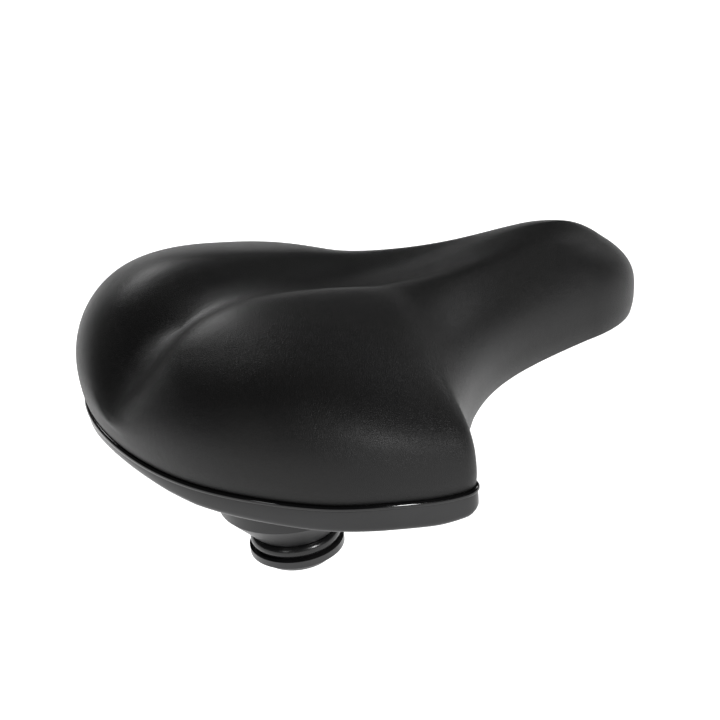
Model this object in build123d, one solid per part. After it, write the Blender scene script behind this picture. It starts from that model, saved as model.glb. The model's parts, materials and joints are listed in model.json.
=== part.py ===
from build123d import *
import math
import os

import numpy as np

# Bicycle saddle on two rubber springs. +X points to the nose, +Y to the left, +Z up.
# The origin lies midway between the two rails, at the middle of their straight clamping length.

# Plan outline of the padded top, left half
REAR_X, NOSE_X = -112.0, 153.0
WING = (-5.5, 108.9)
WING_FRONT = (2.0, 104.0)
NOSE_START = (116.0, 26.0)
NOSE_POWER = 2.2

# Heights
PARTING_LINE = [(-125, 61.7), (-112, 60.5), (-87, 57.5), (-62, 52.5), (-37, 48), (-12, 43.2), (18, 42.5),
                (88, 40.5), (166, 38.1)]
MIDDLE_LINE = [(-112, 60), (-77, 56), (-40, 51.2), (0, 48.9), (60, 44.5), (110, 40.8), (153, 38.2)]
CROWN = [(-112, 48.5), (-64.3, 67.8), (-6, 58.9), (52.3, 51.2), (113.3, 50.7), (153, 40.3)]
CHANNEL = [(-112, 22), (-32.5, 10), (47, 5.8), (113.3, 0.5), (153, 0)]
CHANNEL_HALF_WIDTH = (22.7, 7.8)
SPINE_START, SPINE_END = -72.2, 121.1
SIDE_DROP_FROM, SIDE_DROP = 60.0, 0.0023
ROUNDING, ROUNDING_POWER = 47.0, 2.4
WALL_HEIGHT = 10.5

# Skins and base
COVER = 1.5
HEM_WIDTH = 12.0
GAP = 0.2
SHELL = 3.3
GEL = 7.0
GEL_CENTRE, GEL_RADII = (-52.0, 52.0), (36.0, 27.0)

# Trim round the rear
TRIM_EDGE = [(-125, 55.7), (-112, 54), (-103, 49.4), (-93, 47.5), (-70, 42.4), (-45, 37.2), (-20, 32),
             (-6, 31.3), (6, 34.5)]
TRIM_WALL, TRIM_FLANGE, TRIM_LIP, TRIM_LIP_INSET = 2.6, 14.0, 3.0, 0.9
FLANGE_THICKNESS = 2.0
SCREW_INSET, SCREW_INSET_END, SCREW_SHARES = 8.0, -10.0, (0, 0.3, 0.78, 0.97)
BOSS_CLEAR_R = 34.0
PIPING_HEIGHT, PIPING_PROUD = 2.6, 1.0

# Rubber springs
SPRING_X, SPRING_Y = -55.5, 43.5
PLATE_BOTTOM, PLATE_TOP = 9.0, 12.0
STRAP_REAR, STRAP_FRONT, SPRING_DISC_R, PLATE_HOLE_R = -59.0, -38.0, 20.5, 5.2
BULGE_R, BULGE_FALL, CORE_R, CORE_TOP, BORE_R = 19.8, 2.6, 15.0, 41.3, 3.6
CAP_R, CAP_HEIGHT, CAP_BORE_R = 17.5, 5.0, 10.0
BOSS_BOTTOM, BOSS_WALL_BOTTOM, BOSS_RIM = 19.0, 33.0, 62.0
BOSS_R, BOSS_WALL, BOSS_NECK_R, BOSS_ROOF = 33.0, 3.0, 18.5, 3.5
RIB, RIB_TOP = 2.5, 51.5
BOLT_R, BOLT_HEAD_R, BOLT_HEAD, WASHER_R, WASHER = 3.0, 5.8, 4.0, 8.5, 1.5
INSERT_R, INSERT_HEIGHT = 8.0, 4.5

# Rails
WIRE_R = 3.5
RAIL_Y = 22.0
RAIL_REAR, RAIL_FRONT_BEND = -58.0, 36.0
RAIL_STEP = (-46.0, -36.0)
RAIL_KNEE = (58.5, 14.0, 28.5)
BAR_X, BAR_Z, BAR_Y = 95.0, 37.5, 12.0

# Hook and keeper round the wire's cross bar
HOOK_REAR, HOOK_STEP, HOOK_FRONT = 84.0, 99.5, 112.0
HOOK_ROOF, HOOK_TOP = 41.6, 43.5
KEEPER_BOTTOM, KEEPER_TOP, KEEPER_LIP = 31.8, 33.6, 36.0
TONGUE_REAR, TONGUE_HALF, LIP_HALF, LIP_DEPTH = 86.0, 6.0, 3.5, 3.5
KEEPER_SCREW = (106.0, 7.0)

# Staples through the cover's hem
STAPLE_FROM, STAPLE_PITCH, STAPLE_CROWN, STAPLE_LEG, STAPLE_WIRE = 26.0, 17.0, 9.0, 4.7, 0.8

LOW, HIGH = 15.0, 160.0  # flat base of the padded top's solids, and the height of the columns that cut them


def sampled(points):
    """Places along a smooth curve through (x, value) points, as columns of x and value."""
    curve = Spline(*points)
    return np.array([(p.X, p.Y) for p in (curve @ t for t in np.linspace(0, 1, 300))]).T


PARTING_CURVE, MIDDLE_CURVE, CROWN_CURVE, CHANNEL_CURVE = map(sampled, (PARTING_LINE, MIDDLE_LINE, CROWN, CHANNEL))


def parting(x):
    """Height of the cover's lower edge."""
    return np.interp(x, *PARTING_CURVE)


REAR_POINTS, CORNER_POINTS = 90, 13


def left_outline():
    """Points along the left half of the outline, from the rear's middle to the nose's tip, and the corner's index."""
    rear = Spline((REAR_X, 0), (-101.5, 51), (-64, 92), WING, tangents=((0, 1), (1, 0.05)))
    corner = Spline(WING, WING_FRONT, tangents=((1, 0.05), (0.25, -1)))
    waist = Spline(WING_FRONT, (28, 61), (59.5, 38.5), NOSE_START, tangents=((0.25, -1), (1, -0.08)))
    points = []
    for curve, count in ((rear, REAR_POINTS), (corner, CORNER_POINTS), (waist, 80)):
        points += [((curve @ t).X, (curve @ t).Y) for t in np.linspace(0, 1, count, endpoint=False)]
    for angle in np.linspace(0, math.pi / 2, 50):
        along = max(math.sin(angle), 0) ** (2 / NOSE_POWER)
        across = max(math.cos(angle), 0) ** (2 / NOSE_POWER)
        points.append((NOSE_START[0] + (NOSE_X - NOSE_START[0]) * along, NOSE_START[1] * across))
    return np.array(points), REAR_POINTS + CORNER_POINTS // 2


LEFT, CORNER = left_outline()
WHOLE = np.vstack([LEFT, LEFT[::-1] * (1, -1)])


def inset_points(inset):
    """The left outline moved inwards, as the points behind the wing's corner and those in front of it."""
    run = np.gradient(LEFT, axis=0)
    inward = np.stack([run[:, 1], -run[:, 0]], axis=1) / np.hypot(run[:, 0], run[:, 1])[:, None]
    moved = LEFT + inset * inward
    moved[0, 1] = moved[-1, 1] = 0
    near = np.sqrt(((moved[:, None] - WHOLE[None]) ** 2).sum(axis=2)).min(axis=1)
    kept = near > abs(inset) - 0.05
    rear = moved[:CORNER][kept[:CORNER]]
    front = moved[CORNER:][kept[CORNER:]]
    return rear, front


def thinned(points, step=4):
    """Every few points, with both ends."""
    inner = list(points[step:-2:step])
    return [tuple(map(float, p)) for p in [points[0], *inner, points[-1]]]


def plan(inset):
    """Column over the outline, moved inwards by inset."""
    rear, front = (thinned(part) for part in inset_points(inset))
    edges = []
    for side in (1, -1):
        a = [(x, side * y) for x, y in rear]
        b = [(x, side * y) for x, y in front]
        edges += [Spline(*a), Line(a[-1], b[0]), Spline(*b)]
    face = make_face(Curve() + edges)
    return extrude(Plane.XY.offset(LOW - 40) * face, HIGH)


def between(lower, upper):
    """Everything between two lines of (x, height) points."""
    low, high = Spline(*lower), Spline(*upper)
    sides = [Line(low @ 0, high @ 0), Line(low @ 1, high @ 1)]
    return extrude(Plane.XZ * make_face(Curve() + [low, high, *sides]), 130, both=True)


def raised(line, rise):
    return [(x, z + rise) for x, z in line]


def band(low, high):
    """Everything between two heights measured from the parting line."""
    return between(raised(PARTING_LINE, low), raised(PARTING_LINE, high))


def height(x, y):
    """Height of the padded top over its edge, before its edges are rounded off."""
    crown, depth = np.interp(x, *CROWN_CURVE), max(np.interp(x, *CHANNEL_CURVE), 0)
    share = (x - REAR_X) / (NOSE_X - REAR_X)
    wide = CHANNEL_HALF_WIDTH[0] + (CHANNEL_HALF_WIDTH[1] - CHANNEL_HALF_WIDTH[0]) * share
    side = SIDE_DROP * max(abs(y) - SIDE_DROP_FROM, 0) ** 2
    return crown - depth * math.exp(-((y / wide) ** 2)) - side


def top(x, y, inset):
    """Height of the padded top, moved inwards by inset."""
    edge = max(np.hypot(WHOLE[:, 0] - x, WHOLE[:, 1] - y).min() - inset, 0)
    full = edge + math.hypot(max(SPINE_START - x, x - SPINE_END, 0), y)
    share = edge / full
    reach = min(edge / min(full, ROUNDING), 1)
    rounded = (1 - (1 - reach) ** ROUNDING_POWER) ** (1 / ROUNDING_POWER)
    base = parting(x) * (1 - share) + np.interp(x, *MIDDLE_CURVE) * share
    return base + WALL_HEIGHT - inset + (height(x, y) - WALL_HEIGHT) * rounded


def section(x, inset, half_width):
    """Closed outline of the padded top at one place along it."""
    across = [half_width * math.sin(q * math.pi / 2) for q in np.linspace(-1, 1, 17)]
    arch = [(x, y, float(top(x, y, inset))) for y in across]
    base = [(x, -half_width, LOW), (x, half_width, LOW)]
    return Wire([Edge.make_line(base[0], base[1]), Edge.make_line(base[1], arch[-1]),
                 Edge.make_spline([Vector(*p) for p in arch]), Edge.make_line(arch[0], base[0])])


def pad(inset):
    """Solid of the padded top, moved inwards by inset and standing on a flat base far below."""
    rear, front = inset_points(inset)
    edge = np.vstack([rear, front])
    first, last = edge[0, 0], edge[-1, 0]
    steps = [0.6, 2.5, 6, 12, 20, 31, 44, 58, 72, 86, 97, 104]
    stations = [first + s for s in steps] + [0.0, 8, 18, 32, 50, 70, 90, 108]
    stations += [last - s for s in (32, 22, 13, 6.5, 2.5, 0.6)]
    wires = [section(x, inset, float(np.interp(x, edge[:, 0], edge[:, 1]))) for x in stations]
    return Solid.make_loft(wires)


def turned(profile, x, y):
    """Body of revolution about an upright axis, from (radius, height) points."""
    face = make_face(Polyline(*profile, close=True))
    return Pos(x, y, 0) * revolve(Plane.XZ * face, Axis.Z)


def rod(radius, low, high, x, y):
    return Pos(x, y, low) * Cylinder(radius, high - low, align=(Align.CENTER, Align.CENTER, Align.MIN))


def block(x0, x1, y0, y1, z0, z1):
    return Pos((x0 + x1) / 2, (y0 + y1) / 2, (z0 + z1) / 2) * Box(x1 - x0, y1 - y0, z1 - z0)


def gel_column(side, grow=0.0):
    ellipse = Ellipse(GEL_RADII[0] + grow, GEL_RADII[1] + grow)
    return extrude(Pos(GEL_CENTRE[0], side * GEL_CENTRE[1], LOW) * Rot(0, 0, side * 25) * ellipse, HIGH)


def rail_wire():
    """The one bent wire: raised ends, straight rails, a rise towards the nose, and a cross bar there."""
    rise = PLATE_BOTTOM - WIRE_R
    route = [(RAIL_REAR, RAIL_Y, rise), (RAIL_STEP[0], RAIL_Y, rise), (RAIL_STEP[1], RAIL_Y, 0),
             (RAIL_FRONT_BEND, RAIL_Y, 0), RAIL_KNEE, (BAR_X, BAR_Y, BAR_Z)]
    route += [(x, -y, z) for x, y, z in reversed(route)]
    path = FilletPolyline(*route, radius=[10, 10, 12, 18, 8, 8, 18, 12, 10, 10])
    start = Plane(origin=path @ 0, z_dir=path % 0)
    return sweep(start * Circle(WIRE_R), path=path)


def spring_bridge():
    strap = block(STRAP_REAR, STRAP_FRONT, -SPRING_Y, SPRING_Y, PLATE_BOTTOM, PLATE_TOP)
    for side in (1, -1):
        strap += rod(SPRING_DISC_R, PLATE_BOTTOM, PLATE_TOP, SPRING_X, side * SPRING_Y)
    for side in (1, -1):
        strap -= rod(PLATE_HOLE_R, PLATE_BOTTOM - 1, PLATE_TOP + 1, SPRING_X, side * SPRING_Y)
    return strap


def spring_cap(side):
    low = PLATE_BOTTOM - CAP_HEIGHT
    profile = [(CAP_BORE_R, PLATE_BOTTOM), (CAP_R, PLATE_BOTTOM), (CAP_R - 0.3, PLATE_BOTTOM - 1.8),
               (CAP_R - 1.9, low + 1), (CAP_R - 4, low), (CAP_BORE_R, low)]
    return turned(profile, SPRING_X, side * SPRING_Y)


def elastomer(side):
    middle, half = (PLATE_TOP + BOSS_BOTTOM) / 2, (BOSS_BOTTOM - PLATE_TOP) / 2
    swell = [(float(BULGE_R - BULGE_FALL * abs(t) ** 2.2), float(middle + t * half)) for t in np.linspace(-1, 1, 9)]
    profile = [(BORE_R, PLATE_TOP), *swell, (CORE_R, BOSS_BOTTOM), (CORE_R, CORE_TOP), (BORE_R, CORE_TOP)]
    return turned(profile, SPRING_X, side * SPRING_Y)


def boss(side):
    """Hollow cone with a pocket for the rubber core, a bolt seat above it and ribs across."""
    x, y = SPRING_X, side * SPRING_Y
    pocket, bore = CORE_TOP + GAP, CORE_R + 0.3
    roof = pocket + BOSS_ROOF
    outside = [(BOSS_NECK_R, BOSS_BOTTOM), (BOSS_R - 2, BOSS_WALL_BOTTOM), (BOSS_R, BOSS_RIM)]
    inside = [(BOSS_R - BOSS_WALL, BOSS_RIM), (BOSS_R - BOSS_WALL - 2, BOSS_WALL_BOTTOM + 1.2),
              (BOSS_NECK_R, BOSS_BOTTOM + 3.5)]
    core = [(BOSS_NECK_R - 0.5, roof), (BOLT_R + 0.3, roof), (BOLT_R + 0.3, pocket), (bore, pocket)]
    reach, low = BOSS_R - BOSS_WALL - 1, BOSS_WALL_BOTTOM + 1
    ribs = block(x - reach, x + reach, y - RIB / 2, y + RIB / 2, low, RIB_TOP)
    ribs += block(x - RIB / 2, x + RIB / 2, y - reach, y + reach, low, RIB_TOP)
    ribs -= rod(BOSS_NECK_R - 1, low - 5, RIB_TOP + 5, x, y)
    return turned([(bore, BOSS_BOTTOM), *outside, *inside, *core], x, y) + ribs


def spring_washer(side):
    x, y, high = SPRING_X, side * SPRING_Y, PLATE_BOTTOM - 0.3
    return rod(WASHER_R, high - WASHER, high, x, y) - rod(BOLT_R, high - 9, high + 9, x, y)


def spring_bolt(side):
    x, y, seat = SPRING_X, side * SPRING_Y, PLATE_BOTTOM - 0.3 - WASHER
    head = extrude(Pos(x, y, seat - BOLT_HEAD) * RegularPolygon(BOLT_HEAD_R, 6), BOLT_HEAD)
    return head + rod(BOLT_R, seat, CORE_TOP + GAP + BOSS_ROOF + 5, x, y)


def spring_insert(side):
    x, y, seat = SPRING_X, side * SPRING_Y, CORE_TOP + GAP + BOSS_ROOF
    return rod(INSERT_R, seat, seat + INSERT_HEIGHT, x, y) - rod(BOLT_R, seat - 1, seat + 9, x, y)


def nose_hook():
    pillar = block(HOOK_STEP, HOOK_FRONT, -BAR_Y, BAR_Y, KEEPER_TOP, HOOK_TOP)
    return pillar + block(HOOK_REAR, HOOK_STEP, -BAR_Y, BAR_Y, HOOK_ROOF, HOOK_TOP)


def nose_keeper():
    step = HOOK_STEP - 0.5
    plate = block(step, HOOK_FRONT, -BAR_Y, BAR_Y, KEEPER_BOTTOM, KEEPER_TOP)
    plate += block(TONGUE_REAR, step, -TONGUE_HALF, TONGUE_HALF, KEEPER_BOTTOM, KEEPER_TOP)
    return plate + block(TONGUE_REAR, TONGUE_REAR + LIP_DEPTH, -LIP_HALF, LIP_HALF, KEEPER_TOP, KEEPER_LIP)


def screw(x, y, seat, length, head_r=3.6, shank_r=1.7):
    """Round-headed screw driven upwards, its head under the given height."""
    return rod(head_r, seat - 2.0, seat, x, y) + rod(shank_r, seat, seat + length, x, y)


def trim_screws():
    line = inset_points(SCREW_INSET)[0]
    line = line[line[:, 0] < SCREW_INSET_END]
    along = np.concatenate([[0], np.cumsum(np.hypot(*np.diff(line, axis=0).T))])
    group = []
    for share in SCREW_SHARES:
        x, y = (float(np.interp(share * along[-1], along, line[:, i])) for i in (0, 1))
        seat = float(parting(x)) - GAP - FLANGE_THICKNESS
        group += [screw(x, side * y, seat, 7.0) for side in ((1, -1) if share else (1,))]
    return Compound(group)


def keeper_screws():
    x, y = KEEPER_SCREW
    return Compound([screw(x, side * y, KEEPER_BOTTOM, 9.0) for side in (1, -1)])


def cover_staples():
    """Wire staples through the hem, in front of the trim, each with its crown along the edge."""
    group = []
    rear, front = inset_points(6.0)
    gaps = np.hypot(*np.diff(front, axis=0).T)
    along = np.concatenate([[0], np.cumsum(gaps)])
    for place in np.arange(STAPLE_FROM, along[-1] - 8, STAPLE_PITCH):
        x, y = (float(np.interp(place, along, front[:, i])) for i in (0, 1))
        ahead = [float(np.interp(place + 1, along, front[:, i])) for i in (0, 1)]
        turn = math.degrees(math.atan2(ahead[1] - y, ahead[0] - x))
        low, end = float(parting(x)) - 0.7, (STAPLE_CROWN - STAPLE_WIRE) / 2
        for side in (1, -1):
            staple = block(-STAPLE_CROWN / 2, STAPLE_CROWN / 2, -0.4, 0.4, low, low + 0.7)
            for leg in (-end, end):
                staple += block(leg - 0.4, leg + 0.4, -0.4, 0.4, low, low + STAPLE_LEG)
            group.append(Pos(x, side * y, 0) * Rot(0, 0, side * turn) * staple)
    return Compound(group)


def ring(outer, inner, shape):
    """Part of a shape within a strip that follows the outline behind the wings' corners."""
    strip = (plan(outer) - plan(inner)) & shape
    return strip & block(REAR_X - 10, WING_FRONT[0] - 0.6, -130, 130, 0, HIGH)


def rear_trim():
    under_cover = raised(PARTING_LINE, -GAP)
    lip_top = raised(TRIM_EDGE, TRIM_LIP)
    wall = ring(0, TRIM_WALL, between(lip_top, under_cover))
    lip = ring(TRIM_LIP_INSET, TRIM_WALL + TRIM_LIP_INSET, between(TRIM_EDGE, lip_top))
    flange = ring(TRIM_WALL - 0.1, TRIM_FLANGE, band(-GAP - FLANGE_THICKNESS, -GAP))
    for side in (1, -1):
        flange -= rod(BOSS_CLEAR_R, 20, 90, SPRING_X, side * SPRING_Y)
    return wall + lip + flange


def build():
    screws, keeper_pair = trim_screws(), keeper_screws()
    top_outer, top_foam = pad(0), pad(COVER + 2 * GAP)
    under_hem = plan(HEM_WIDTH) & band(-1, COVER + GAP)
    for side in (1, -1):
        under_hem += rod(BOSS_CLEAR_R, 20, BOSS_RIM, SPRING_X, side * SPRING_Y)
    cover = (top_outer & band(0, 100)) - (pad(COVER) & band(COVER, 100)) - under_hem - screws
    gel_bottom = pad(COVER + GAP + GEL + GAP)
    gels = {side: ((pad(COVER + 2 * GAP) & gel_column(side)) - pad(COVER + 2 * GAP + GEL)) for side in (1, -1)}
    foam = top_foam & band(COVER + GAP + SHELL + GAP, 100)
    for side in (1, -1):
        foam -= gel_column(side, GAP) - gel_bottom
    tray = pad(COVER + 2 * GAP) & band(COVER + GAP, COVER + GAP + SHELL)
    below_foam = band(-60, COVER + GAP + SHELL)
    for side in (1, -1):
        tray -= rod(28, 20, 90, SPRING_X, side * SPRING_Y)
        tray += boss(side) & below_foam
    tray += nose_hook()
    tray = tray - screws - keeper_pair
    piping = ring(-PIPING_PROUD, 0, band(-PIPING_HEIGHT / 2, PIPING_HEIGHT / 2)) - top_outer
    parts = {
        "cover": cover, "foam_pad": foam, "base_shell": tray,
        "gel_pad_left": gels[1], "gel_pad_right": gels[-1],
        "rear_trim": rear_trim() - screws, "edge_piping": piping,
        "trim_screws": screws, "cover_staples": cover_staples(),
        "nose_keeper": nose_keeper() - keeper_pair, "keeper_screws": keeper_pair,
        "rail_wire": rail_wire(), "spring_bridge": spring_bridge(),
    }
    for name, side in (("left", 1), ("right", -1)):
        parts[f"elastomer_{name}"] = elastomer(side)
        parts[f"spring_cap_{name}"] = spring_cap(side)
        parts[f"spring_washer_{name}"] = spring_washer(side)
        parts[f"spring_bolt_{name}"] = spring_bolt(side)
        parts[f"spring_insert_{name}"] = spring_insert(side)
    return parts


if __name__ == "__main__":
    os.makedirs("parts", exist_ok=True)
    for node, shape in build().items():
        export_step(shape, f"parts/{node}.step")
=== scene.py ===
import json
import math

import bmesh
import bpy
import numpy as np
from mathutils import Matrix, Vector
from mathutils.bvhtree import BVHTree


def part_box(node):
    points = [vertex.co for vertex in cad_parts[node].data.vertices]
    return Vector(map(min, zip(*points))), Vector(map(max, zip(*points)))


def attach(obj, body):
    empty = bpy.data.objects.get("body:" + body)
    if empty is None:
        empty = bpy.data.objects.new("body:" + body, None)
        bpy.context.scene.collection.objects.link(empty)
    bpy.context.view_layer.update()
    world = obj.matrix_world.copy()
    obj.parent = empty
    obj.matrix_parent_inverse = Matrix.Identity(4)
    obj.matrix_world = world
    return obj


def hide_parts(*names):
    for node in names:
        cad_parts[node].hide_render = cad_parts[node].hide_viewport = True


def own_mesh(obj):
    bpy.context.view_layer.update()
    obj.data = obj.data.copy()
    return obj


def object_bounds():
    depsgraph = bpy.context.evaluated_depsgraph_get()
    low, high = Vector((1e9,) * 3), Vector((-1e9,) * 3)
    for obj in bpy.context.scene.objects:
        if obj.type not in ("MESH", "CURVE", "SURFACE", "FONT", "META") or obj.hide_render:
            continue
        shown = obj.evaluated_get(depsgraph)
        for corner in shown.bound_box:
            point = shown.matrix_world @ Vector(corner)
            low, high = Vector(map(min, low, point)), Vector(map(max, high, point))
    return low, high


# The looks of a wide comfort saddle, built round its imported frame. +X nose, +Y left, +Z up.

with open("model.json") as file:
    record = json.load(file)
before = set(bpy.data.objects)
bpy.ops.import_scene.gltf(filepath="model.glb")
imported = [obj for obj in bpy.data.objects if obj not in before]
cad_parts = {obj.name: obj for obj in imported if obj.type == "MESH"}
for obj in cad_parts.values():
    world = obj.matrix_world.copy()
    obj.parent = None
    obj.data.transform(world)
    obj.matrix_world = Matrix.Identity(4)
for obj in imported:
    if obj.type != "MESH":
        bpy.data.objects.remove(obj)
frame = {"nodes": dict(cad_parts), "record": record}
cad_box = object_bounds()
MM = 0.001


def box_mm(node):
    """Lower and upper corner of a CAD node in mm."""
    low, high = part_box(node)
    return np.array(low) / MM, np.array(high) / MM


# ------------------------------------------------------------------ places taken from the frame
rubber_low, rubber_high = box_mm("elastomer_right")
REAR_X, NOSE_X = -112.0, 153.0
LENGTH = NOSE_X - REAR_X
SPRING_X, SPRING_Y = (rubber_low[0] + rubber_high[0]) / 2, abs(rubber_low[1] + rubber_high[1]) / 2

# ------------------------------------------------------------------ driving sizes of the looks, in mm
OUTLINE_REAR = [(REAR_X, 0), (-102.0, 51.6), (-65.2, 93.2), (-6.2, 108.7)]
OUTLINE_CORNER = [(-6.2, 108.7), (1.6, 103.8)]
OUTLINE_WAIST = [(1.6, 103.8), (28, 61), (59.5, 38.5), (116, 26)]
NOSE_POWER = 2.2
RIM_LINE = [(-125, 61.7), (-112, 60.5), (-87, 57.5), (-62, 52.5), (-37, 48), (-12, 43.2), (18, 42.5),
            (88, 39.2), (166, 37.5)]
SPINE_REAR, SPINE_NOSE = 39.8, 31.9
EDGE_WIDTH, EDGE_POWER = 46.9, 2.4
TUCK_ANGLE, TUCK_HEIGHT, SIDE_BULGE = 0.25, 10.5, 2.7
CROWN = [(-112, 48.5), (-64.3, 65.9), (-6, 58.2), (52.3, 52.6), (113.3, 50.2), (153, 38.6)]
CHANNEL = [(-112, 22.1), (-32.5, 10.1), (47, 5.8), (113.3, 0.5), (153, 0.0)]
CHANNEL_WIDE, CHANNEL_NARROW, CHANNEL_POWER = 22.7, 9.5, (1.9, 3.6)
LOBE, LOBE_RADIUS, LOBE_EDGE, LOBE_RISE = (-42.0, 58.0), 62.0, 3.5, 3.2
SIDE_DROP_FROM, SIDE_DROP = 60.0, 0.00234
HEM_WIDTH, SKIN = 12.0, 1.2
FOAM_INSET, FOAM_FLOOR = 3.0, 6.0
GEL_POCKET, GEL_TOP, GEL_BOTTOM = 7.5, 3.2, 9.5
GEL_RINGS, GEL_SPOKES = 9, 48
BOSS_CLEAR = 34.5
TRIM_DEPTH = [(-112, 6.5), (-108, 8.5), (-103, 10), (-93, 10.8), (-70, 11.8), (-45, 12.4), (-20, 12.4),
              (-6, 11.5), (2, 9.5)]
TRIM_FLANGE, TRIM_EDGE_R = 14.0, 2.4
BEAD_R, BEAD_INSET = 1.45, 0.4
RING_SHARE, RING_KEEP, RING_LIP_R = 7 / 29.3, 0.34, 3.5
CORE_R, BORE_R = 14.9, 3.7
FLOOR_DROP, FLOOR_HALF = 0.055, 6.0


def spline(points, start=None, end=None, count=40):
    """Points along a smooth curve through points, with unit end directions where they are given."""
    p = np.array(points, float)
    steps = np.hypot(*np.diff(p, axis=0).T)
    n = len(p)
    a, b = np.zeros((n, n)), np.zeros((n, 2))
    for i in range(1, n - 1):
        before, after = steps[i - 1], steps[i]
        a[i, i - 1], a[i, i], a[i, i + 1] = after, 2 * (before + after), before
        b[i] = 3 * (after * (p[i] - p[i - 1]) / before + before * (p[i + 1] - p[i]) / after)
    for row, other, direction, gap in ((0, 1, start, steps[0]), (n - 1, n - 2, end, steps[-1])):
        a[row, row] = 1 if direction is not None else 2
        if direction is not None:
            b[row] = np.array(direction) / np.hypot(*direction)
        else:
            a[row, other] = 1
            b[row] = 3 * (p[max(row, other)] - p[min(row, other)]) / gap
    slopes = np.linalg.solve(a, b)
    knots = np.concatenate([[0], np.cumsum(steps)])
    places = np.linspace(0, knots[-1], count)
    i = np.clip(np.searchsorted(knots, places, side="right") - 1, 0, n - 2)
    h = steps[i]
    t = (places - knots[i]) / h
    t, h = t[:, None], h[:, None]
    return ((1 + 2 * t) * (1 - t) ** 2 * p[i] + t * (1 - t) ** 2 * h * slopes[i]
            + t * t * (3 - 2 * t) * p[i + 1] + t * t * (t - 1) * h * slopes[i + 1])


def half_outline(count):
    """Left half of the plan outline at even steps, rear's middle to nose's tip, and the corner's index."""
    rear = spline(OUTLINE_REAR, (0, 1), (1, 0.05), 80)
    corner = spline(OUTLINE_CORNER, (1, 0.05), (0.25, -1), 16)
    waist = spline(OUTLINE_WAIST, (0.25, -1), (1, -0.08), 80)
    x0, y0 = OUTLINE_WAIST[-1]
    angle = np.linspace(0, math.pi / 2, 60)
    nose = np.stack([x0 + (NOSE_X - x0) * np.sin(angle) ** (2 / NOSE_POWER),
                     y0 * np.clip(np.cos(angle), 0, 1) ** (2 / NOSE_POWER)], axis=1)
    line = np.vstack([rear[:-1], corner[:-1], waist[:-1], nose])
    along = np.concatenate([[0], np.cumsum(np.hypot(*np.diff(line, axis=0).T))])
    places = np.linspace(0, along[-1], count)
    even = np.stack([np.interp(places, along, line[:, k]) for k in (0, 1)], axis=1)
    even[-1, 1] = even[0, 1] = 0
    corner_at = along[len(rear) - 1 + len(corner) // 2]
    return even, int(np.searchsorted(places, corner_at))


rim_curve = spline(RIM_LINE, count=300)


def rim(x):
    return np.interp(x, rim_curve[:, 0], rim_curve[:, 1])


def middle_rim(x):
    share = (x - REAR_X) / LENGTH
    return 56.5 + 3.6 * np.exp(-(((x - REAR_X) / 35) ** 2)) - 20.3 * share + 2.0 * share ** 2


crown_curve, channel_curve = spline(CROWN, count=200), spline(CHANNEL, count=200)


def height(x, y):
    """Height of the padded top over its rim before its edges are rounded."""
    share = (x - REAR_X) / LENGTH
    crown = np.interp(x, crown_curve[:, 0], crown_curve[:, 1])
    depth = np.maximum(np.interp(x, channel_curve[:, 0], channel_curve[:, 1]), 0)
    wide = CHANNEL_WIDE + (CHANNEL_NARROW - CHANNEL_WIDE) * np.clip(share, 0, 1)
    sharp = np.interp(x, (REAR_X, 20), CHANNEL_POWER)
    away = np.hypot(x - LOBE[0], np.abs(y) - LOBE[1])
    lobe = LOBE_RISE / (1 + np.exp((away - LOBE_RADIUS) / LOBE_EDGE))
    side = SIDE_DROP * np.clip(np.abs(y) - SIDE_DROP_FROM, 0, None) ** 2
    return crown + lobe - depth * np.exp(-(np.abs(y / wide) ** sharp)) - side


OUTLINE, CORNER = half_outline(161)


def padded_surface(rows, inset=0.0):
    """Grid of the padded top's left half: outline points by rows from the rim up to the spine."""
    edge_x, edge_y = OUTLINE[:, 0:1], OUTLINE[:, 1:2]
    spine = (REAR_X + SPINE_REAR
             + (LENGTH - SPINE_NOSE - SPINE_REAR) * np.clip((edge_x - REAR_X) / LENGTH, 0, 1))
    angle = np.linspace(-TUCK_ANGLE, math.pi / 2, rows)[None, :]
    cosine = np.abs(np.cos(angle)) ** (2 / EDGE_POWER)
    sine = np.sign(np.sin(angle)) * np.abs(np.sin(angle)) ** (2 / EDGE_POWER)
    reach = np.hypot(spine - edge_x, edge_y)
    width = np.minimum(EDGE_WIDTH, reach)
    inward = (1 - cosine) * width + (reach - width) * np.clip(angle / (math.pi / 2), 0, 1) ** 2
    turn = np.clip((angle + TUCK_ANGLE) / (TUCK_ANGLE + 0.9), 0, 1)
    inward = inward - SIDE_BULGE * np.sin(math.pi * turn)
    inward = (inward + inset * cosine) / reach
    inward[:, -1] = 1.0
    x = edge_x + (spine - edge_x) * inward
    y = edge_y * (1 - inward)
    low = TUCK_HEIGHT
    share = np.clip(inward, 0, 1)
    base = rim(edge_x) * (1 - share) + middle_rim(x) * share
    tuck = low * sine / math.sin(TUCK_ANGLE) ** (2 / EDGE_POWER)
    rise = np.where(sine >= 0, (height(x, y) - low) * sine, tuck)
    return softened(np.stack([x, y, base + low + rise - inset * np.clip(sine, 0, 1)], axis=2))


def softened(grid):
    """The grid with the ridge that runs up from the wing's corner smoothed away, except close to the rim."""
    count, rows = grid.shape[:2]
    taps = np.arange(-24, 25)
    weights = np.exp(-((taps / 10) ** 2))
    places, levels = np.arange(count), np.linspace(0, 1, rows)
    smooth = sum(w * grid[np.clip(places + t, 0, count - 1)] for t, w in zip(taps, weights)) / weights.sum()
    near = np.exp(-(((places - CORNER) / 24) ** 2))
    high = np.clip((levels - 0.30) / 0.36, 0, 1) * np.clip((1 - levels) / 0.1, 0, 1)
    share = (near[:, None] * (high * high * (3 - 2 * high))[None, :])[:, :, None]
    return grid + share * (smooth - grid)


def inward_normals():
    run = np.gradient(OUTLINE, axis=0)
    return np.stack([run[:, 1], -run[:, 0]], axis=1) / np.hypot(run[:, 0], run[:, 1])[:, None]


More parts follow.
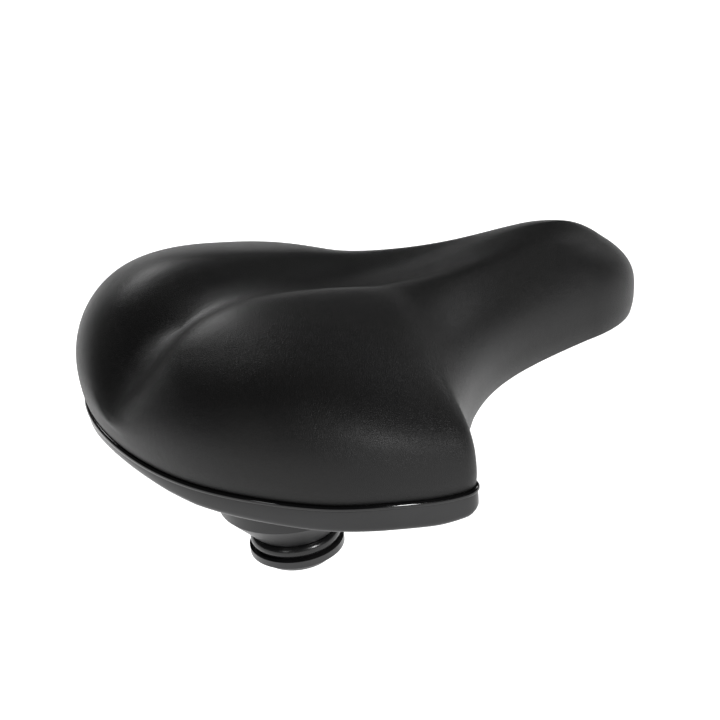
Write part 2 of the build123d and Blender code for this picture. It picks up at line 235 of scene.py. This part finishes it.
NORMALS = inward_normals()
NORMALS[0], NORMALS[-1] = (1, 0), (-1, 0)


def inset_room(most):
    """How far each outline point can move inwards before it meets another edge or a spring seat."""
    whole = np.vstack([OUTLINE, OUTLINE * (1, -1)])
    room = np.zeros(len(OUTLINE))
    for i, (point, normal) in enumerate(zip(OUTLINE, NORMALS)):
        for inset in np.arange(most, 0, -0.5):
            place = point + inset * normal
            clear = np.hypot(*(whole - place).T).min() > inset - 0.6
            if clear and math.hypot(place[0] - SPRING_X, place[1] - SPRING_Y) > BOSS_CLEAR:
                room[i] = inset
                break
    return room


# ------------------------------------------------------------------ mesh helpers
def mesh_object(name, points, faces, smooth=True):
    """An object with its vertices given in mm in the shared frame."""
    mesh = bpy.data.meshes.new(name)
    mesh.from_pydata([tuple(v) for v in np.asarray(points) * MM], [], faces)
    bm = bmesh.new()
    bm.from_mesh(mesh)
    bmesh.ops.remove_doubles(bm, verts=bm.verts, dist=1e-6)
    bmesh.ops.dissolve_degenerate(bm, edges=bm.edges, dist=1e-7)
    bmesh.ops.recalc_face_normals(bm, faces=bm.faces)
    bm.to_mesh(mesh)
    bm.free()
    mesh.polygons.foreach_set("use_smooth", [smooth] * len(mesh.polygons))
    obj = bpy.data.objects.new(name, mesh)
    bpy.context.scene.collection.objects.link(obj)
    return obj


def grid_faces(rows, columns, closed_rows=False, closed_columns=False):
    faces = []
    for i in range(rows if closed_rows else rows - 1):
        for j in range(columns if closed_columns else columns - 1):
            a, b = i * columns + j, i * columns + (j + 1) % columns
            c, d = ((i + 1) % rows) * columns + (j + 1) % columns, ((i + 1) % rows) * columns + j
            faces.append((a, b, c, d))
    return faces


def apply_modifiers(obj):
    depsgraph = bpy.context.evaluated_depsgraph_get()
    mesh = bpy.data.meshes.new_from_object(obj.evaluated_get(depsgraph))
    obj.modifiers.clear()
    obj.data = mesh


def subdivide(obj, levels=1):
    modifier = obj.modifiers.new("smooth", "SUBSURF")
    modifier.levels = modifier.render_levels = levels


def both_sides(left):
    """The left grid with its mirror image after it, as one closed round of the outline."""
    return np.concatenate([left, (left * (1, -1, 1))[-2:0:-1]], axis=0)


def swept(name, stations, profile_at, caps=True):
    """A strip whose cross-section, a list of (outwards, up) in mm, follows outline stations."""
    points = []
    for k, (place, outward, level) in enumerate(stations):
        for out, up in profile_at(k):
            points.append((place[0] + outward[0] * out, place[1] + outward[1] * out, level + up))
    count = len(profile_at(0))
    faces = grid_faces(len(stations), count, closed_columns=True)
    if caps:
        faces.append(tuple(range(count))[::-1])
        faces.append(tuple((len(stations) - 1) * count + j for j in range(count)))
    return mesh_object(name, points, faces)


def turned(name, profile, x, y, segments=96):
    """A closed ring-shaped body of revolution about an upright axis."""
    points = []
    for k in range(segments):
        angle = 2 * math.pi * k / segments
        for radius, z in profile:
            points.append((x + radius * math.cos(angle), y + radius * math.sin(angle), z))
    return mesh_object(name, points, grid_faces(segments, len(profile), True, True))


# ------------------------------------------------------------------ materials
class Paint:
    """A node material under construction."""

    def __init__(self, name, colour, roughness, metallic=0.0, specular=0.5, coat=0.0,
                 coat_roughness=0.1, sheen=0.0):
        self.material = bpy.data.materials.new(name)
        self.material.use_nodes = True
        self.nodes, self.links = self.material.node_tree.nodes, self.material.node_tree.links
        self.shader = self.nodes["Principled BSDF"]
        self.shader.inputs["Base Color"].default_value = (*colour, 1)
        self.shader.inputs["Roughness"].default_value = roughness
        self.shader.inputs["Metallic"].default_value = metallic
        self.shader.inputs["Specular IOR Level"].default_value = specular
        self.shader.inputs["Coat Weight"].default_value = coat
        self.shader.inputs["Coat Roughness"].default_value = coat_roughness
        self.shader.inputs["Sheen Weight"].default_value = sheen
        self.place = self.nodes.new("ShaderNodeTexCoord").outputs["Object"]

    def node(self, kind, inputs=None, **settings):
        made = self.nodes.new(kind)
        for key, value in settings.items():
            setattr(made, key, value)
        for key, value in (inputs or {}).items():
            if isinstance(value, bpy.types.NodeSocket):
                self.links.new(value, made.inputs[key])
            else:
                made.inputs[key].default_value = value
        return made

    def stretched(self, scale, rotation=(0, 0, 0)):
        inputs = {"Vector": self.place, "Scale": scale, "Rotation": rotation}
        return self.node("ShaderNodeMapping", inputs).outputs[0]

    def noise(self, scale, detail=3.0, vector=None, roughness=0.5):
        inputs = {"Vector": vector or self.place, "Scale": scale, "Detail": detail, "Roughness": roughness}
        return self.node("ShaderNodeTexNoise", inputs).outputs[0]

    def cells(self, scale, feature="F1", vector=None):
        return self.node("ShaderNodeTexVoronoi", {"Vector": vector or self.place, "Scale": scale},
                         feature=feature).outputs["Distance"]

    def sums(self, first, second, operation="ADD"):
        return self.node("ShaderNodeMath", {0: first, 1: second}, operation=operation).outputs[0]

    def between(self, value, low, high, start=0.0, end=1.0):
        return self.node("ShaderNodeMapRange", {"Value": value, "From Min": start, "From Max": end,
                                                "To Min": low, "To Max": high}).outputs[0]

    def colour(self, value, first, second, start=0.3, end=0.7):
        ramp = self.node("ShaderNodeValToRGB", {"Fac": value})
        for element, place, shade in zip(ramp.color_ramp.elements, (start, end), (first, second)):
            element.position, element.color = place, (*shade, 1)
        self.links.new(ramp.outputs[0], self.shader.inputs["Base Color"])

    def rough(self, value, low, high, start=0.3, end=0.7):
        self.links.new(self.between(value, low, high, start, end), self.shader.inputs["Roughness"])

    def bump(self, *layers):
        """Each layer is (height, strength, depth in mm)."""
        before = None
        for value, strength, depth in layers:
            inputs = {"Height": value, "Strength": strength, "Distance": depth * MM}
            made = self.node("ShaderNodeBump", inputs)
            if before is not None:
                self.links.new(before, made.inputs["Normal"])
            before = made.outputs[0]
        self.links.new(before, self.shader.inputs["Normal"])
        return self.material


def vinyl():
    """Matt black vinyl with a very fine leather grain and faint stretch lines."""
    paint = Paint("cover_vinyl_look", (0.004, 0.004, 0.0044), 0.40, specular=0.30)
    patch = paint.noise(22, 4)
    paint.colour(patch, (0.0028, 0.0028, 0.0032), (0.0052, 0.0050, 0.0048))
    pores = paint.cells(1900, "F1")
    creases = paint.cells(1350, "DISTANCE_TO_EDGE")
    uneven = paint.sums(paint.sums(patch, 0.7, "MULTIPLY"), paint.sums(pores, 0.25, "MULTIPLY"))
    paint.rough(uneven, 0.38, 0.48, 0.2, 0.7)
    stretch = paint.noise(1.0, 3, paint.stretched((70, 420, 150), (0, 0, 0.5)))
    grain = paint.between(creases, 0, 1, 0.0, 0.12)
    return paint.bump((grain, 0.4, 0.10), (pores, 0.3, 0.10), (stretch, 0.16, 0.35))


def moulded(name, colour, low, high, grain=0.5):
    """Moulded plastic with a fine spark-eroded texture and slight handling marks."""
    paint = Paint(name, colour, (low + high) / 2, specular=0.5)
    rub = paint.noise(35, 5)
    lighter = tuple(min(c * 1.5 + 0.002, 1) for c in colour)
    paint.colour(rub, colour, lighter, 0.42, 0.75)
    paint.rough(paint.sums(rub, paint.sums(paint.noise(900, 2), 0.2, "MULTIPLY")), low, high, 0.35, 0.85)
    scuffs = paint.noise(1.0, 4, paint.stretched((60, 900, 300), (0.2, 0.1, 0.7)))
    return paint.bump((paint.noise(2600, 2), 0.10 * grain, 0.12), (scuffs, 0.05, 0.06))


def gloss_bead():
    paint = Paint("piping_gloss_look", (0.002, 0.002, 0.0022), 0.10, specular=0.5)
    wave = paint.noise(60, 3)
    paint.rough(wave, 0.07, 0.16)
    return paint.bump((wave, 0.10, 0.25), (paint.noise(1400, 2), 0.04, 0.05))


def rubber():
    paint = Paint("spring_rubber_look", (0.006, 0.006, 0.0065), 0.22, specular=0.5)
    bloom = paint.noise(90, 5)
    paint.colour(bloom, (0.004, 0.004, 0.0045), (0.010, 0.010, 0.010), 0.4, 0.8)
    paint.rough(bloom, 0.16, 0.32)
    return paint.bump((paint.noise(1500, 3), 0.08, 0.08), (bloom, 0.08, 0.2))


def powder_coat():
    paint = Paint("rail_steel_look", (0.014, 0.014, 0.015), 0.34, coat=0.15, coat_roughness=0.25)
    wear = paint.noise(70, 6)
    paint.colour(wear, (0.012, 0.012, 0.013), (0.030, 0.029, 0.028), 0.5, 0.8)
    paint.rough(wear, 0.28, 0.44)
    return paint.bump((paint.noise(1100, 2), 0.16, 0.10))


def zinc():
    paint = Paint("zinc_steel_look", (0.56, 0.56, 0.54), 0.36, metallic=1.0)
    haze = paint.noise(160, 5)
    paint.colour(haze, (0.42, 0.42, 0.41), (0.66, 0.66, 0.62))
    paint.rough(haze, 0.26, 0.48)
    turning = paint.noise(1.0, 3, paint.stretched((300, 300, 2600)))
    return paint.bump((turning, 0.10, 0.05))


def foam_look():
    paint = Paint("foam_look", (0.55, 0.50, 0.36), 0.9, specular=0.2, sheen=0.2)
    cells = paint.cells(900)
    paint.colour(cells, (0.42, 0.37, 0.25), (0.62, 0.57, 0.42), 0.1, 0.6)
    return paint.bump((cells, 0.6, 0.4))


def gel_look():
    paint = Paint("gel_look", (0.05, 0.14, 0.36), 0.22, specular=0.5, coat=0.4, coat_roughness=0.1)
    swirl = paint.noise(60, 4)
    paint.colour(swirl, (0.03, 0.10, 0.30), (0.08, 0.20, 0.44))
    return paint.bump((swirl, 0.2, 0.5))


LOOKS = {
    "cover_vinyl": vinyl(),
    "foam": foam_look(),
    "gel": gel_look(),
    "shell_plastic": moulded("shell_plastic_look", (0.008, 0.008, 0.0085), 0.34, 0.48),
    "trim_plastic": moulded("trim_plastic_look", (0.007, 0.007, 0.0075), 0.26, 0.36, 0.35),
    "piping_gloss": gloss_bead(),
    "spring_rubber": rubber(),
    "rail_steel": powder_coat(),
    "zinc_steel": zinc(),
}


def finish_piece(obj, slot, body, *stands_for):
    obj.data.materials.clear()
    obj.data.materials.append(LOOKS[slot])
    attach(obj, body)
    if stands_for:
        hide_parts(*stands_for)


# ------------------------------------------------------------------ soft top
def relax(obj, pinned, pressure, cap):
    """Cloth under pressure, held at its hem, swells outwards; no point moves more than cap."""
    rest = np.array([v.co for v in obj.data.vertices])
    group = obj.vertex_groups.new(name="hem")
    group.add([int(i) for i in np.nonzero(pinned(rest))[0]], 1.0, "REPLACE")
    cloth = obj.modifiers.new("cloth", "CLOTH")
    settings = cloth.settings
    settings.vertex_group_mass = "hem"
    settings.quality, settings.mass = 6, 0.2
    settings.tension_stiffness = settings.compression_stiffness = settings.shear_stiffness = 25
    settings.bending_stiffness = 4
    settings.use_pressure, settings.uniform_pressure_force = True, pressure
    settings.effector_weights.gravity = 0
    cloth.collision_settings.use_collision = False
    scene = bpy.context.scene
    scene.frame_start, scene.frame_end = 1, 16
    for step in range(1, 17):
        scene.frame_set(step)
    apply_modifiers(obj)
    moved = np.array([v.co for v in obj.data.vertices])
    shift = moved - rest
    size = np.linalg.norm(shift, axis=1, keepdims=True)
    settled = rest + shift * np.minimum(1, cap / np.maximum(size, 1e-9))
    obj.data.vertices.foreach_set("co", settled.ravel())
    obj.data.update()
    scene.frame_set(1)


def make_cover():
    top = padded_surface(44)
    room = np.minimum(inset_room(HEM_WIDTH), HEM_WIDTH)
    hem = []
    for share in (1.0, 0.5, 0.12):
        place = OUTLINE + NORMALS * (room * share)[:, None]
        hem.append(np.column_stack([place, rim(OUTLINE[:, 0])]))
    left = np.concatenate([np.stack(hem, axis=1), top], axis=1)
    whole = both_sides(left)
    rows, columns = whole.shape[:2]
    obj = mesh_object("cover_skin", whole.reshape(-1, 3), grid_faces(rows, columns, closed_rows=True))
    relax(obj, lambda p: p[:, 2] < (rim(p[:, 0] / MM) + 6) * MM, 1.5, 0.8 * MM)
    solid = obj.modifiers.new("thickness", "SOLIDIFY")
    solid.thickness, solid.offset = SKIN * MM, -1
    subdivide(obj)
    apply_modifiers(obj)
    obj.data.polygons.foreach_set("use_smooth", [True] * len(obj.data.polygons))
    finish_piece(obj, "cover_vinyl", "seat", "cover")
    return obj


def make_foam():
    top = padded_surface(30, inset=FOAM_INSET)
    gel_low, gel_high = box_mm("gel_pad_left")
    middle, half = (gel_low + gel_high) / 2, (gel_high - gel_low) / 2
    away = ((top[:, :, 0] - middle[0]) / half[0]) ** 2 + ((top[:, :, 1] - middle[1]) / half[1]) ** 2
    top[:, :, 2] -= GEL_POCKET * np.clip((1.25 - away) / 0.25, 0, 1)
    floor_z = rim(top[:, 0, 0]) + FOAM_FLOOR
    top[:, :, 2] = np.maximum(top[:, :, 2], floor_z[:, None])
    bottom = [top[:, 0] * (1 - share) + top[:, -1] * share for share in (1.0, 0.66, 0.33)]
    for layer in bottom:
        layer[:, 2] = rim(layer[:, 0]) + FOAM_FLOOR
    left = np.concatenate([np.stack(bottom, axis=1), top], axis=1)
    whole = both_sides(left)
    rows, columns = whole.shape[:2]
    obj = mesh_object("foam_core", whole.reshape(-1, 3), grid_faces(rows, columns, closed_rows=True))
    finish_piece(obj, "foam", "seat", "foam_pad")


def make_gel(name, cover_tree):
    """A lens under the skin of one lobe, from rings round its middle."""
    low, high = box_mm(f"gel_pad_{name}")
    middle, half = (low + high) / 2, (high - low) / 2
    upper, lower = [], []
    for share in np.linspace(0, 1, GEL_RINGS):
        for angle in np.linspace(0, 2 * math.pi, GEL_SPOKES, endpoint=False):
            x = middle[0] + half[0] * share * math.cos(angle)
            y = middle[1] + half[1] * share * math.sin(angle)
            hit = cover_tree.ray_cast(Vector((x * MM, y * MM, 0.3)), Vector((0, 0, -1)))[0]
            skin = hit.z / MM if hit else middle[2]
            upper.append((x, y, skin - GEL_TOP - 1.5 * share ** 4))
            lower.append((x, y, skin - GEL_BOTTOM + 3.5 * share ** 4))
    count = len(upper)
    faces = []
    for face in grid_faces(GEL_RINGS, GEL_SPOKES, closed_columns=True):
        faces += [face, tuple(i + count for i in face[::-1])]
    outer = count - GEL_SPOKES
    for k in range(GEL_SPOKES):
        a, b = outer + k, outer + (k + 1) % GEL_SPOKES
        faces.append((a, b, b + count, a + count))
    obj = mesh_object(f"gel_{name}", upper + lower, faces)
    finish_piece(obj, "gel", "seat", f"gel_pad_{name}")


# ------------------------------------------------------------------ trim and bead
def trim_stations():
    """Stations from the left wing's corner round the rear to the right one: place, outward, rim height."""
    left = [(OUTLINE[i], -NORMALS[i]) for i in range(CORNER + 2, -1, -1)]
    right = [(p * (1, -1), n * (1, -1)) for p, n in left[-2::-1]]
    return [(p, n, float(rim(p[0]))) for p, n in left + right]


def make_trim():
    stations = trim_stations()
    room = inset_room(TRIM_FLANGE)
    order = list(range(CORNER + 2, -1, -1))
    order += order[-2::-1]

    def profile(k):
        place = stations[k][0]
        deep = float(np.interp(place[0], *np.array(TRIM_DEPTH).T))
        wide = max(min(room[order[k]], TRIM_FLANGE), 4.0)
        outer = [(-0.3, -0.4), (0.0, -1.6), (0.1, -deep * 0.45)]
        centre_out, centre_up = -TRIM_EDGE_R, 3.2 - deep
        edge = [(centre_out + TRIM_EDGE_R * math.sin(a), centre_up - 3.2 * math.cos(a))
                for a in np.linspace(math.pi / 2, 0, 7)]
        inner = [(-2.9, -deep + 0.3), (-3.0, -deep + 1.6), (-2.7, -2.9), (-3.4, -2.3)]
        return outer + edge + inner + [(-wide, -2.3), (-wide - 0.1, -1.3), (-wide, -0.3)]

    obj = swept("trim_band", stations, profile)
    finish_piece(obj, "trim_plastic", "seat", "rear_trim")


def make_bead():
    turns = np.linspace(0, 2 * math.pi, 16, endpoint=False)
    round_profile = [(BEAD_R * math.cos(a) - BEAD_INSET, BEAD_R * math.sin(a)) for a in turns]
    obj = swept("gloss_bead", trim_stations(), lambda k: round_profile)
    finish_piece(obj, "piping_gloss", "seat", "edge_piping")


# ------------------------------------------------------------------ springs
def make_spring(name):
    """The ring between the plate and the spring seat, and the core inside the seat."""
    low, high = box_mm(f"elastomer_{name}")
    x, y = (low[0] + high[0]) / 2, (low[1] + high[1]) / 2
    radius = (high[0] - low[0]) / 2
    seat_z, top_z = low[2], low[2] + (high[2] - low[2]) * RING_SHARE
    middle, half = (seat_z + top_z) / 2, (top_z - seat_z) / 2 * 0.97
    outer = [(radius - 0.1 - RING_LIP_R + RING_LIP_R * math.cos(a), middle + half * math.sin(a))
             for a in np.linspace(-math.pi / 2, math.pi / 2, 15)]
    bulge = turned(f"spring_bulge_{name}", [(BORE_R, middle - half), *outer, (BORE_R, middle + half)], x, y)
    finish_piece(bulge, "spring_rubber", "rails", f"elastomer_{name}")
    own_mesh(bulge)
    core_profile = [(BORE_R, top_z + 0.1), (CORE_R - 0.2, top_z + 0.1), (CORE_R, top_z + 0.6),
                    (CORE_R, high[2] - 0.6), (CORE_R - 0.6, high[2]), (BORE_R, high[2])]
    core = turned(f"spring_core_{name}", core_profile, x, y)
    finish_piece(core, "spring_rubber", "seat")


# ------------------------------------------------------------------ light, floor and camera
def area_light(name, place, target, size, power, colour=(1, 1, 1), size_y=None):
    data = bpy.data.lights.new(name, "AREA")
    data.energy, data.size, data.color = power, size, colour
    data.shape, data.size_y = "RECTANGLE", size_y or size
    obj = bpy.data.objects.new(name, data)
    obj.location = place
    obj.rotation_mode = "QUATERNION"
    obj.rotation_quaternion = (Vector(target) - Vector(place)).to_track_quat("-Z", "Y")
    bpy.context.scene.collection.objects.link(obj)


def make_stage():
    corners = [(a * FLOOR_HALF, b * FLOOR_HALF, 0) for a, b in ((-1, -1), (1, -1), (1, 1), (-1, 1))]
    mesh = bpy.data.meshes.new("floor")
    mesh.from_pydata(corners, [], [(0, 1, 2, 3)])
    floor = bpy.data.objects.new("floor", mesh)
    floor.location.z = float(cad_box[0][2]) - FLOOR_DROP
    bpy.context.scene.collection.objects.link(floor)
    paint = Paint("floor_look", (0.93, 0.93, 0.93), 0.9, specular=0.1)
    paint.shader.inputs["Emission Color"].default_value = (1, 1, 1, 1)
    paint.shader.inputs["Emission Strength"].default_value = 0.85
    floor.data.materials.append(paint.bump((paint.noise(40, 2), 0.02, 0.2)))
    world = bpy.data.worlds.new("studio")
    world.use_nodes = True
    world.node_tree.nodes["Background"].inputs[0].default_value = (1, 1, 1, 1)
    world.node_tree.nodes["Background"].inputs[1].default_value = 0.06
    bpy.context.scene.world = world
    bpy.context.scene.view_settings.view_transform = "Standard"
    aim = (0.01, 0, 0.07)
    area_light("top_softbox", (0.05, 1.0, 0.95), aim, 0.6, 10)
    area_light("side_softbox", (0.27, -1.3, 0.55), aim, 0.2, 8.0)
    area_light("rear_softbox", (-1.2, -0.75, 0.55), aim, 0.3, 1.6)
    area_light("nose_softbox", (1.2, 0.1, 0.6), aim, 0.4, 2.0)


CAMERA_AZIMUTH, CAMERA_ELEVATION, CAMERA_ROLL = (math.radians(a) for a in (28.03, 27.72, 7.34))
CAMERA_DISTANCE, CAMERA_LENS, CAMERA_SENSOR = 1.2, 134.33, 36.0
CAMERA_TARGET = Vector((0.00943, 0.0, 0.05764))


def make_camera():
    data = bpy.data.cameras.new("camera")
    data.sensor_width, data.lens = CAMERA_SENSOR, CAMERA_LENS
    data.clip_start, data.clip_end = 0.05, 30
    across = Vector((math.cos(CAMERA_AZIMUTH), -math.sin(CAMERA_AZIMUTH), 0))
    level = Vector((math.sin(CAMERA_AZIMUTH), math.cos(CAMERA_AZIMUTH), 0))
    up = level * math.sin(CAMERA_ELEVATION) + Vector((0, 0, math.cos(CAMERA_ELEVATION)))
    ahead = level * math.cos(CAMERA_ELEVATION) - Vector((0, 0, math.sin(CAMERA_ELEVATION)))
    tilted_x = across * math.cos(CAMERA_ROLL) - up * math.sin(CAMERA_ROLL)
    tilted_y = across * math.sin(CAMERA_ROLL) + up * math.cos(CAMERA_ROLL)
    turn = Matrix((tilted_x, tilted_y, -ahead)).transposed()
    camera = bpy.data.objects.new("camera", data)
    camera.matrix_world = Matrix.Translation(CAMERA_TARGET - ahead * CAMERA_DISTANCE) @ turn.to_4x4()
    bpy.context.scene.collection.objects.link(camera)
    bpy.context.scene.camera = camera


# ------------------------------------------------------------------ the scene
def paint_frame():
    """Gives each CAD node that stays its finished material."""
    for part in frame["record"]["subparts"]:
        node = frame["nodes"][part["node"]]
        node.data.materials.clear()
        node.data.materials.append(LOOKS[part["material_slot"]])


paint_frame()
make_camera()
make_stage()
cover = make_cover()
make_foam()
skin_faces = [tuple(p.vertices) for p in cover.data.polygons]
skin = BVHTree.FromPolygons([v.co for v in cover.data.vertices], skin_faces)
for name in ("left", "right"):
    make_gel(name, skin)
make_trim()
make_bead()
for name in ("left", "right"):
    make_spring(name)
